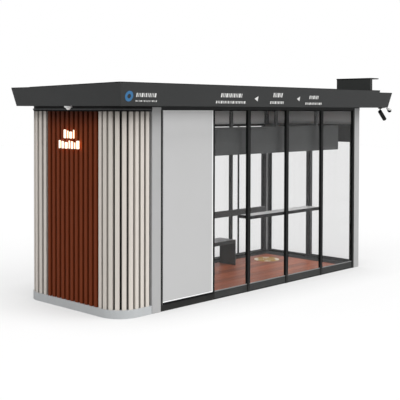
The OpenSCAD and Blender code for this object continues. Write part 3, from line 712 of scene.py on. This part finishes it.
class SHELTER_OT_roof_capping(Step, bpy.types.Operator):
    """Adds the thin dark capping along the roof's top edges, whose near-black also paints the shadow line
    there
    """
    bl_idname = "shelter.roof_capping"
    bl_label = "Roof capping"
    # How far the capping sinks into the deck, and the height of the deck's rear edge over the fascia
    SINK = 0.001
    REAR_EDGE = 0.003

    def execute(self, context):
        s = sizes()
        deck_low, deck_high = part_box("roof_deck")
        edge_low, edge_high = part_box("roof_fascia")
        h, w = s.capping_height, s.capping_width
        top = edge_high.z
        bm = bmesh.new()
        # Level run over the deck's front edge, then the fascia's own top edges
        for x0, y0, x1, y1, z in (
                (deck_low.x, deck_low.y, deck_high.x, deck_low.y + w, deck_high.z - self.SINK),
                (deck_high.x, edge_low.y, edge_high.x, edge_low.y + w, top),
                (edge_high.x - w, edge_low.y + w, edge_high.x, edge_high.y - w, top),
                (edge_low.x, edge_high.y - w, edge_high.x, edge_high.y, top),
                (edge_low.x, deck_high.y, edge_low.x + w, edge_high.y - w, top)):
            bar(bm, (x0, y0, z), (x1, y1, z + h))
        # Pitched run along the deck's left edge
        fall = deck_high.z - top - self.REAR_EDGE
        lean = s.fascia_lean / (edge_high.z - edge_low.z)
        path = []
        for y, share in ((deck_low.y + w, w / (deck_high.y - deck_low.y)), (deck_high.y, 1.0)):
            z = deck_high.z - fall * share
            path.append(((edge_low.x - lean * (z - top), y, z), (1, 0, 0)))
        sweep(bm, path, (0, -self.SINK), (w, h))
        # Near-black rubber, which also paints the shadow line along the top of the fascia
        piece("roof_edge_capping", bm, "rubber", "cabinet_black")
        return {"FINISHED"}


class SHELTER_OT_end_trims(Step, bpy.types.Operator):
    """Adds the end beam's drip, a dark brush seal that also paints the shade over the slats' tops, the kerb's
    seals and the cover plates of the front posts
    """
    bl_idname = "shelter.end_trims"
    bl_label = "End trims"
    # Low and high corner of each section, as (out, up) from the beam's lower edge
    DRIP = ((0.0, -0.004), (0.012, 0.014))
    # The brush seal is near-black rubber over the slats' tops, which also paints the shade under the beam
    BRUSH = ((-0.02, -0.02), (0.004, -0.004))
    # Kerb seal: width, depth, how far it stands proud, and its gap at the foot and the top
    SEAL = (0.004, 0.02, 0.0005, 0.002)
    # Cover plate: margin at its sides, thickness, its lap below the beam and its height over the beam's foot
    PLATE = (0.001, 0.0015, 0.001, 0.032)

    def execute(self, context):
        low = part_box("end_beam")[0]
        kerb_low, kerb_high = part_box("plinth")
        path = corner_path(low.x - kerb_low.x, low.z)
        for name, section, look in (("end_beam_drip", self.DRIP, ("drip", "roof_grey")),
                                    ("slat_top_shade_seal", self.BRUSH, ())):
            bm = bmesh.new()
            sweep(bm, path, *section)
            piece(name, bm, *look, smooth=True)
        wide, deep, proud, gap = self.SEAL
        ends = (kerb_low.y - proud, kerb_low.y + deep), (kerb_high.y - deep, kerb_high.y + proud)
        strips("kerb_seal", EDGE,
               [((kerb_high.x - wide, y0, gap), (kerb_high.x, y1, kerb_high.z - gap)) for y0, y1 in ends])
        # The plates carry the posts' faces up over the beam, to just under the soffit
        margin, thick, lap, rise = self.PLATE
        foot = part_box("front_beam")[0]
        strips("post_cover_plates", SHEET_EDGE,
               [((a.x + margin, a.y - thick, foot.z - lap), (b.x - margin, a.y, foot.z + rise))
                for a, b in solids_of("pale_posts") if abs(a.y - foot.y) < SAME], "post", "pale_grey")
        return {"FINISHED"}


class SHELTER_OT_lit_sign(Step, bpy.types.Operator):
    """Stands two rows of plain lit bars in front of the brown slats"""
    bl_idname = "shelter.lit_sign"
    bl_label = "Lit sign"
    ROWS = (
        # middle along Y, underside, height, widths of the bars
        (-0.050, 2.122, 0.106, (0.014, 0.044, 0.014, 0.04)),
        (-0.049, 1.995, 0.100, (0.048, 0.013, 0.036, 0.013, 0.048, 0.036, 0.025)),
    )
    GAP = 0.03
    # Shares of the row's height that its bars take in turn, and the radius of their corners
    TALL = (1.0, 0.78, 0.9)
    ROUND = 0.009
    # Back light: depth, how far inside its bar's outline it lies, and how far its rear stands behind the bar
    BACK, INSET, BEHIND = 0.003, 0.002, 0.0035
    # Studs: radius, sides, shares of the bar's height where they stand, and how far behind it they start
    STUD, STUD_SIDES, STUD_PLACES, STUD_START = 0.003, 12, (0.2, 0.8), 0.004

    def execute(self, context):
        s = sizes()
        face_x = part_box("slats_brown")[0].x - s.sign_stand_off
        faces, backs, studs = bmesh.new(), bmesh.new(), bmesh.new()
        stud_end = s.sign_stand_off - self.STUD_START
        profile = [(0.0, 0.0), (self.STUD, 0.0), (self.STUD, stud_end), (0.0, stud_end)]

        def place(a, b, out):
            return Vector((face_x - out, a, b))

        def behind(a, b, out):
            return Vector((face_x - out + self.BEHIND, a, b))

        for middle, z, height, widths in self.ROWS:
            y = middle - (sum(widths) + self.GAP * (len(widths) - 1)) / 2
            for k, width in enumerate(widths):
                tall = height * self.TALL[k % len(self.TALL)]
                relief(faces, rounded(y, z, width, tall, self.ROUND), place, s.sign_depth)
                inner = rounded(y + self.INSET, z + self.INSET, width - 2 * self.INSET, tall - 2 * self.INSET,
                                self.ROUND - self.INSET)
                relief(backs, inner, behind, self.BACK)
                for up in self.STUD_PLACES:
                    start = Matrix.Translation((face_x + self.STUD_START, y + width / 2, z + tall * up))
                    lathe(studs, profile, start @ Matrix.Rotation(math.radians(90), 4, "Y"), self.STUD_SIDES)
                y += width + self.GAP
        piece("lit_sign_bars", faces, "lit", "camera_white")
        piece("lit_sign_back_light", backs, "glow", "camera_white")
        piece("lit_sign_studs", studs, "steel", "hanger_steel")
        return {"FINISHED"}


class SHELTER_OT_fascia_marks(Step, bpy.types.Operator):
    """Puts a plain ring, plain bars and plain triangles on the front fascia"""
    bl_idname = "shelter.fascia_marks"
    bl_label = "Fascia marks"
    ROWS = (
        # start and end along X, underside, height, number of bars
        (-2.437, -2.127, 2.622, 0.047, 11),
        (-2.436, -2.106, 2.568, 0.018, 13),
        (-1.004, -0.601, 2.637, 0.052, 12),
        (-1.079, -0.518, 2.559, 0.033, 18),
        (0.042, 0.235, 2.650, 0.059, 6),
        (-0.003, 0.284, 2.561, 0.036, 9),
        (0.856, 1.067, 2.635, 0.049, 7),
        (0.785, 1.171, 2.555, 0.031, 12),
    )
    # Shares of a row that its bars take in turn, the gap between two, and the radius of their corners
    SHARES = (2, 1, 1, 3, 1, 2, 1)
    GAP = 0.016
    ROUND = 0.004
    # Middle and half size of each triangle, and middle, inner and outer radius of the ring
    ARROWS = ((-0.306, 2.626, 0.034), (0.603, 2.635, 0.032))
    RING = (-2.546, 2.630, 0.027, 0.060)
    # How far the marks' backs stand off the paint
    GLUE = 0.0003

    def execute(self, context):
        thick = sizes().mark_thickness
        low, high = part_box("roof_fascia")
        lean = sizes().fascia_lean / (high.z - low.z)

        def place(a, b, out):
            return Vector((a, low.y + lean * (high.z - b) - out - self.GLUE, b))

        bm = bmesh.new()
        for x, end, z, height, count in self.ROWS:
            shares = [self.SHARES[k % len(self.SHARES)] for k in range(count)]
            room = end - x - self.GAP * (count - 1)
            for share in shares:
                width = room * share / sum(shares)
                relief(bm, rounded(x, z, width, height, self.ROUND, 2), place, thick)
                x += width + self.GAP
        for x, z, half in self.ARROWS:
            relief(bm, [(x - half, z), (x + half, z - half), (x + half, z + half)], place, thick)
        piece("fascia_mark_bars", bm, "sign", "camera_white")
        x, z, inner, outer = self.RING
        bm = bmesh.new()
        annulus(bm, (x, z), inner, outer, place, thick)
        piece("fascia_mark_ring", bm, "ring", "camera_white")
        return {"FINISHED"}


class SHELTER_OT_gaskets(Step, bpy.types.Operator):
    """Puts rubber gaskets round every fixed pane, on both faces, and beads at the feet of the front ones"""
    bl_idname = "shelter.gaskets"
    bl_label = "Glazing gaskets"
    # node, index of its thin axis, first pane and one past the last, visible widths at the sides and foot
    PANES = {
        "rear_gaskets": (("rear_glass", 1, 0, None, (0.005, 0.005), 0.005),),
        "end_gaskets": (("end_glass", 0, 0, None, (0.01, 0.034), 0.008),),
        # The first front pane meets the panel's frame, which leaves less of its gasket to see
        "front_gaskets": (("front_glass", 1, 0, 1, (0.005, 0.01), 0.0),
                          ("front_glass", 1, 1, None, (0.026, 0.01), 0.0)),
    }
    # Depth and height of the grey beads
    BEAD = (0.008, 0.013)

    def execute(self, context):
        for name, groups in self.PANES.items():
            bm = bmesh.new()
            for node, across, start, stop, edges, foot in groups:
                gasket_frames(bm, solids_of(node)[start:stop], across, edges, foot)
            piece(name, bm)
        deep, tall = self.BEAD
        strips("front_glazing_beads", STRIP_EDGE,
               [((low.x, low.y - deep, low.z), (high.x, low.y, low.z + tall))
                for low, high in solids_of("front_glass")], "cover")
        return {"FINISHED"}


class SHELTER_OT_room_trims(Step, bpy.types.Operator):
    """Adds the thin strips on the counter, bench, corner post, rear panes, front sill and leaning rail"""
    bl_idname = "shelter.room_trims"
    bl_label = "Room trims"
    # Thickness of the lipping and of the bench's sheet
    THIN = 0.002
    # How far the lipping hangs below the counter's top and laps over it, and the bench sheet's margin
    DROP, LAP, MARGIN = 0.029, 0.001, 0.006
    # Cover strip: how far it begins and ends from the corner post's left edge, and its thickness
    COVER = (0.012, 0.056, 0.003)
    # Beads of the rear panes: reach over and below the foot of the transom panels, and their thickness
    BEAD = (0.012, 0.028, 0.003)
    # Sill seal, near-black rubber that also paints the shadow gap at the sill's foot: depth, underside and
    # top
    SEAL = (0.001, 0.001, 0.013)
    # Closing strip of the rail: how far it stands in from the rail's faces, and its height
    CLOSER = (0.004, 0.026)

    def execute(self, context):
        thin, drop, lap, inset = self.THIN, self.DROP, self.LAP, self.MARGIN
        low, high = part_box("counter_top")
        tops = solids_of("counter_top")
        strips("counter_lipping", SHEET_EDGE,
               [((low.x - thin, low.y, low.z - drop), (low.x, high.y, high.z + lap)),
                ((low.x - thin, high.y, low.z), (high.x, high.y + thin, high.z + lap)),
                *(((a.x, a.y - thin, a.z - drop), (b.x, a.y, b.z + lap)) for a, b in tops)])
        low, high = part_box("bench_seat")
        strips("bench_top_sheet", STRIP_EDGE,
               [((low.x + inset, low.y + inset, high.z), (high.x - inset, high.y - inset, high.z + thin))],
               "seat", "bench_grey")
        # The cover strip stands on the corner post's room side, just inside its left edge
        begin, end, thick = self.COVER
        left, low = max(solids_of("rear_posts"), key=lambda b: b[1].x)[0].x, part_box("rear_posts")[0]
        sill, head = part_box("rear_sill")[1].z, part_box("rear_glass")[1].z
        strips("corner_cover_strip", EDGE,
               [((left + begin, low.y - thick, sill), (left + end, low.y, head))], "cover")
        # A dark bead closes the heads of the rear panes, over the lower edge of the rails under the transoms
        over, below, thick = self.BEAD
        pane_y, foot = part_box("rear_glass")[0].y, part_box("transom_panels")[0].z
        corners = []
        for a, b in solids_of("transom_panels"):
            if a.z < foot + SAME and b.y > pane_y > a.y:
                corners += [((a.x, a.y - thick, foot - below), (b.x, a.y, foot + over)),
                            ((a.x, a.y, foot - below), (b.x, pane_y, foot))]
        strips("transom_beads", TRIM_EDGE, corners)
        # A near-black seal along the front sill's foot, which paints the shadow gap there
        low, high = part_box("front_sill")
        deep, under, top = self.SEAL
        strips("sill_foot_shade_seal", SHEET_EDGE, [((low.x, low.y - deep, under), (high.x, low.y, top))])
        # Closing strip along the underside of the leaning rail
        low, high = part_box("leaning_rail")
        inset, tall = self.CLOSER
        strips("rail_strip", STRIP_EDGE,
               [((low.x, low.y + inset, low.z - tall), (high.x, high.y - inset, low.z))], "rail")
        return {"FINISHED"}


class SHELTER_OT_floor_border(Step, bpy.types.Operator):
    """Lays the dark plates that border the floor along the rear and the entrance end, and that also paint the
    shade at the walls' feet
    """
    bl_idname = "shelter.floor_border"
    bl_label = "Floor border"
    # Widths along the rear and the entrance end, thickness of a plate, joint between two, plates a side
    REAR_WIDTH = 0.15
    END_WIDTH = 0.2
    THICK = 0.004
    JOINT = 0.003
    PLATES = 4

    def execute(self, context):
        low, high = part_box("floor_boards")
        inner_x, inner_y = high.x - self.END_WIDTH, high.y - self.REAR_WIDTH
        corners = []
        for start, end, at_end in ((low.y, high.y, True), (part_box("rear_panel")[1].x, inner_x, False)):
            step = (end - start) / self.PLATES
            for k in range(self.PLATES):
                a, b = start + k * step + self.JOINT / 2, start + (k + 1) * step - self.JOINT / 2
                x0, y0, x1, y1 = (inner_x, a, high.x, b) if at_end else (a, inner_y, b, high.y)
                corners.append(((x0, y0, high.z), (x1, y1, high.z + self.THICK)))
        strips("floor_border", STRIP_EDGE, corners, "border")
        return {"FINISHED"}


class SHELTER_OT_panel_trim(Step, bpy.types.Operator):
    """Lays a black bead over the closed panel's edges, which also paints their shadow gap, and a white line
    inside it that paints their highlight
    """
    bl_idname = "shelter.panel_trim"
    bl_label = "Panel trim"
    # Visible widths of the black bead on the panel's left, right, lower and upper edge; it also paints the
    # shadow gap there
    BEAD = (0.004, 0.02, 0.027, 0.005)
    # Shares of the painted highlight's width that show at the foot and the head, and how far bead and
    # highlight stand proud
    FOOT, HEAD = 0.7, 0.4
    PROUD = 0.0015

    def execute(self, context):
        s = sizes()
        low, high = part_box("front_panel")
        left, right, foot, top = self.BEAD
        x0, x1, z0, z1 = low.x + left, high.x - right, low.z + foot, high.z - top
        line_x = x1 - s.edge_highlight_width
        beads = ((low.x, low.z, x0, high.z), (x1, low.z, high.x, high.z), (x0, low.z, x1, z0),
                 (x0, z1, x1, high.z))
        lines = ((line_x, z0, x1, z1), (x0, z0, line_x, z0 + s.edge_highlight_width * self.FOOT),
                 (x0, z1 - s.edge_highlight_width * self.HEAD, line_x, z1))
        for name, places, look in (("panel_edge_bead", beads, ()),
                                   ("panel_edge_highlight", lines, ("trim", "panel_grey"))):
            corners = [((a, low.y - self.PROUD, c), (b, low.y + s.bead_and_highlight_depth, d)) for a, c, b, d in places]
            strips(name, TRIM_EDGE, corners, *look)
        return {"FINISHED"}


class SHELTER_OT_door_seals(Step, bpy.types.Operator):
    """Puts gaskets, edge rubbers and a brush on the sliding leaf"""
    bl_idname = "shelter.door_seals"
    bl_label = "Door seals"
    # Edge rubber: how far it stands proud, its depth in the leaf, and its margins at the sides and the ends
    RUBBER = (0.0008, 0.002, 0.012, 0.01)
    # Brush: how far it hangs down, its height in the leaf, and its margins at the sides and the ends
    BRUSH = (0.004, 0.001, 0.014, 0.01)

    def execute(self, context):
        bm = bmesh.new()
        width = sizes().gasket_width
        gasket_frames(bm, solids_of("door_glass"), 0, (width, width), width)
        low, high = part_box("door_frame")
        proud, deep, side, end = self.RUBBER
        for y0, y1 in ((low.y - proud, low.y + deep), (high.y - deep, high.y + proud)):
            bar(bm, (low.x + side, y0, low.z + end), (high.x - side, y1, high.z - end), RUBBER_EDGE)
        piece("door_gaskets", bm, body=DOOR)
        bm = bmesh.new()
        hang, deep, side, end = self.BRUSH
        bar(bm, (low.x + side, low.y + end, low.z - hang), (high.x - side, high.y - end, low.z + deep),
            SHEET_EDGE)
        piece("door_brush", bm, "brush", body=DOOR)
        return {"FINISHED"}


class SHELTER_OT_cameras(Step, bpy.types.Operator):
    """Adds the collar rings of the dome cameras and the smoked bubble of the outer one"""
    bl_idname = "shelter.cameras"
    bl_label = "Cameras"
    # Radius of a bubble, how far the added parts stand outside it, depth of a ring and of the outer collar
    BUBBLE = 0.032
    PROUD = 0.0025
    RING = 0.0035
    COLLAR = 0.018
    # How much wider a ring is at its top than at its foot
    FLARE = 1.7
    # Degrees down the bubble at which its rows of points lie; the last one leaves its foot open
    ARC = range(0, 90, 9)

    def execute(self, context):
        rings = bmesh.new()
        for low, high in solids_of("dome_cameras"):
            # The collar is round; its middle is the solid's, or at the far end of the outer camera's plate
            outer = high.x > 0
            middle = high.x - (high.y - low.y) / 2 if outer else (low.x + high.x) / 2
            place = Matrix.Translation((middle, (low.y + high.y) / 2, low.z + self.BUBBLE))
            wide = self.BUBBLE + self.PROUD
            drop = self.COLLAR if outer else self.RING
            lathe(rings, [(wide, 0.0), (wide, -drop), (wide + self.RING, -drop),
                          (wide + self.RING * self.FLARE, 0.0)], place)
            if outer:
                bubble = bmesh.new()
                arc = [math.radians(degrees) for degrees in self.ARC]
                lathe(bubble, [(wide * math.cos(t), -drop - wide * math.sin(t)) for t in arc], place)
                piece("dome_bubble", bubble, "smoked", "camera_black", smooth=True)
        piece("dome_rings", rings, "abs_white", "camera_white", smooth=True)
        return {"FINISHED"}


class SHELTER_OT_studio(Step, bpy.types.Operator):
    """Sets the pale floor, the soft plain light and the camera"""
    bl_idname = "shelter.studio"
    bl_label = "Studio"
    # Camera: place; heading from +X, dip and roll in degrees; focal length and sensor in mm; lens shift
    EYE = (-9.034, -8.553, 2.471)
    HEADING = 43.767
    DIP = 1.384
    ROLL = 0.15
    LENS, SENSOR = 77.35, 36.0
    SHIFT = (-0.0055, -0.1723)
    # Strength of the even light, and each soft lamp: direction to it, strength, spread in degrees
    AMBIENT = 0.46
    LAMPS = (((0.4, -0.8, 0.75), 2.15, 60), ((-0.8, -0.25, 1.1), 1.4, 70))
    # The floor: half its side, how far it lies under the shelter's foot, and its grey
    HALF_SIDE = 40.0
    UNDER = 0.001
    PAPER = (0.6, 0.6, 0.6, 1.0)
    # Colour of the floor's glow and of the surroundings
    WHITE = (1.0, 1.0, 1.0, 1.0)
    # The floor's glow: its share of the look and its strength, seen directly and behind glass
    GLOW_SHARE = (0.5, 0.8)
    GLOW_STRENGTH = (1.28, 1.05)
    # Share of the glow that is left beside a wall, and how far from it the shade reaches
    CONTACT = 0.75
    CONTACT_REACH = 0.9

    def execute(self, context):
        context.scene.view_settings.view_transform = "Standard"
        self.camera(context.scene)
        self.floor(context.scene)
        self.light(context.scene)
        return {"FINISHED"}

    def camera(self, scene):
        data = bpy.data.cameras.new("view_camera")
        data.lens = self.LENS
        data.sensor_width = self.SENSOR
        data.shift_x, data.shift_y = self.SHIFT
        obj = bpy.data.objects.new("view_camera", data)
        heading, dip = math.radians(self.HEADING), math.radians(self.DIP)
        ahead = Vector((math.cos(heading) * math.cos(dip), math.sin(heading) * math.cos(dip), -math.sin(dip)))
        obj.location = self.EYE
        turned = ahead.to_track_quat("-Z", "Y") @ Quaternion((0.0, 0.0, 1.0), math.radians(self.ROLL))
        obj.rotation_euler = turned.to_euler()
        scene.collection.objects.link(obj)
        scene.camera = obj

    def floor(self, scene):
        bm = bmesh.new()
        bmesh.ops.create_grid(bm, x_segments=8, y_segments=8, size=self.HALF_SIDE)
        mesh = bpy.data.meshes.new("studio_floor")
        bm.to_mesh(mesh)
        bm.free()
        obj = bpy.data.objects.new("studio_floor", mesh)
        obj.location.z = -self.UNDER
        scene.collection.objects.link(obj)
        # Matt paper, with a faint cloudiness about 40 mm across
        mat, tree, where = new_material("studio_paper")
        tooth = add(tree, "TexNoise", {"Scale": per_metre(40), "Detail": 2.0, "Vector": where})
        tone = add(tree, "MapRange", {"To Min": 0.985, "Value": tooth})
        base = add(tree, "HueSaturation", {"Color": self.PAPER, "Value": tone})
        matt = add(tree, "BsdfDiffuse", {"Color": base})
        path = add(tree, "LightPath")
        # The paper glows in part; seen directly it keeps more of its soft shadow than behind glass
        share, glow = (
            add(tree, "Math", {
                "operation": "MULTIPLY_ADD", 0: path.outputs["Is Camera Ray"], 1: direct,
                2: add(tree, "Math", {
                    "operation": "MULTIPLY", 0: path.outputs["Is Transmission Ray"], 1: behind})})
            for direct, behind in (self.GLOW_SHARE, self.GLOW_STRENGTH))
        # Soft contact shade on the paper beside the kerb and the sill
        contact = add(tree, "AmbientOcclusion", {"samples": 8, "Distance": self.CONTACT_REACH})
        shade = add(tree, "MapRange", {
            "From Min": 0.5, "To Min": self.CONTACT, "Value": contact.outputs["AO"]})
        power = add(tree, "Math", {"operation": "MULTIPLY", 0: glow, 1: shade})
        white = add(tree, "Emission", {"Color": self.WHITE, "Strength": power})
        mesh.materials.append(finish(mat, add(tree, "MixShader", {0: share, 1: matt, 2: white})))

    def light(self, scene):
        world = bpy.data.worlds.new("studio_world")
        world.use_nodes = True
        scene.world = world
        tree = world.node_tree
        tree.nodes.clear()
        # The camera and the glass see plain white, and the even light is weaker than that
        path = add(tree, "LightPath")
        seen = add(tree, "Math", {
            "operation": "MAXIMUM", 0: path.outputs["Is Camera Ray"], 1: path.outputs["Is Transmission Ray"]})
        soft = add(tree, "Background", {"Color": self.WHITE, "Strength": self.AMBIENT})
        white = add(tree, "Background", {"Color": self.WHITE, "Strength": 1.0})
        add(tree, "OutputWorld", {"Surface": add(tree, "MixShader", {0: seen, 1: soft, 2: white})})
        for k, (to_lamp, strength, angle) in enumerate(self.LAMPS):
            data = bpy.data.lights.new(f"soft_lamp_{k}", "SUN")
            data.energy = strength
            data.angle = math.radians(angle)
            lamp = bpy.data.objects.new(f"soft_lamp_{k}", data)
            lamp.rotation_euler = (-Vector(to_lamp)).to_track_quat("-Z", "Y").to_euler()
            scene.collection.objects.link(lamp)


class SHELTER_PT_panel(bpy.types.Panel):
    """Sidebar panel with the shelter's settings and steps"""
    bl_idname = "SHELTER_PT_panel"
    bl_label = "Bus Shelter"
    bl_space_type = "VIEW_3D"
    bl_region_type = "UI"
    bl_category = "Shelter"

    def draw(self, context):
        """Lists the colours, the sizes and the steps in order."""
        for title, group in (("Colours", colours()), ("Sizes", sizes())):
            box = self.layout.box()
            box.label(text=title)
            for name in group.bl_rna.properties.keys():
                if name not in ("rna_type", "name"):
                    box.prop(group, name)
        column = self.layout.column(align=True)
        for operator in OPERATORS:
            column.operator(operator.bl_idname)


OPERATORS = (
    SHELTER_OT_finishes,
    SHELTER_OT_floor_boards,
    SHELTER_OT_floor_mark,
    SHELTER_OT_roof_capping,
    SHELTER_OT_end_trims,
    SHELTER_OT_lit_sign,
    SHELTER_OT_fascia_marks,
    SHELTER_OT_gaskets,
    SHELTER_OT_room_trims,
    SHELTER_OT_floor_border,
    SHELTER_OT_panel_trim,
    SHELTER_OT_door_seals,
    SHELTER_OT_cameras,
    SHELTER_OT_studio,
)
CLASSES = (ShelterColours, ShelterSizes, *OPERATORS, SHELTER_PT_panel)


def register():
    """Registers the classes and the scene's settings."""
    for cls in CLASSES:
        bpy.utils.register_class(cls)
    bpy.types.Scene.shelter_colours = PointerProperty(type=ShelterColours)
    bpy.types.Scene.shelter_sizes = PointerProperty(type=ShelterSizes)


def unregister():
    """Takes the settings and classes away again."""
    del bpy.types.Scene.shelter_sizes
    del bpy.types.Scene.shelter_colours
    for cls in reversed(CLASSES):
        bpy.utils.unregister_class(cls)


def main():
    """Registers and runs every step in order."""
    register()
    for operator in OPERATORS:
        getattr(bpy.ops.shelter, operator.bl_idname.split(".")[1])()


if __name__ == "__main__":
    main()
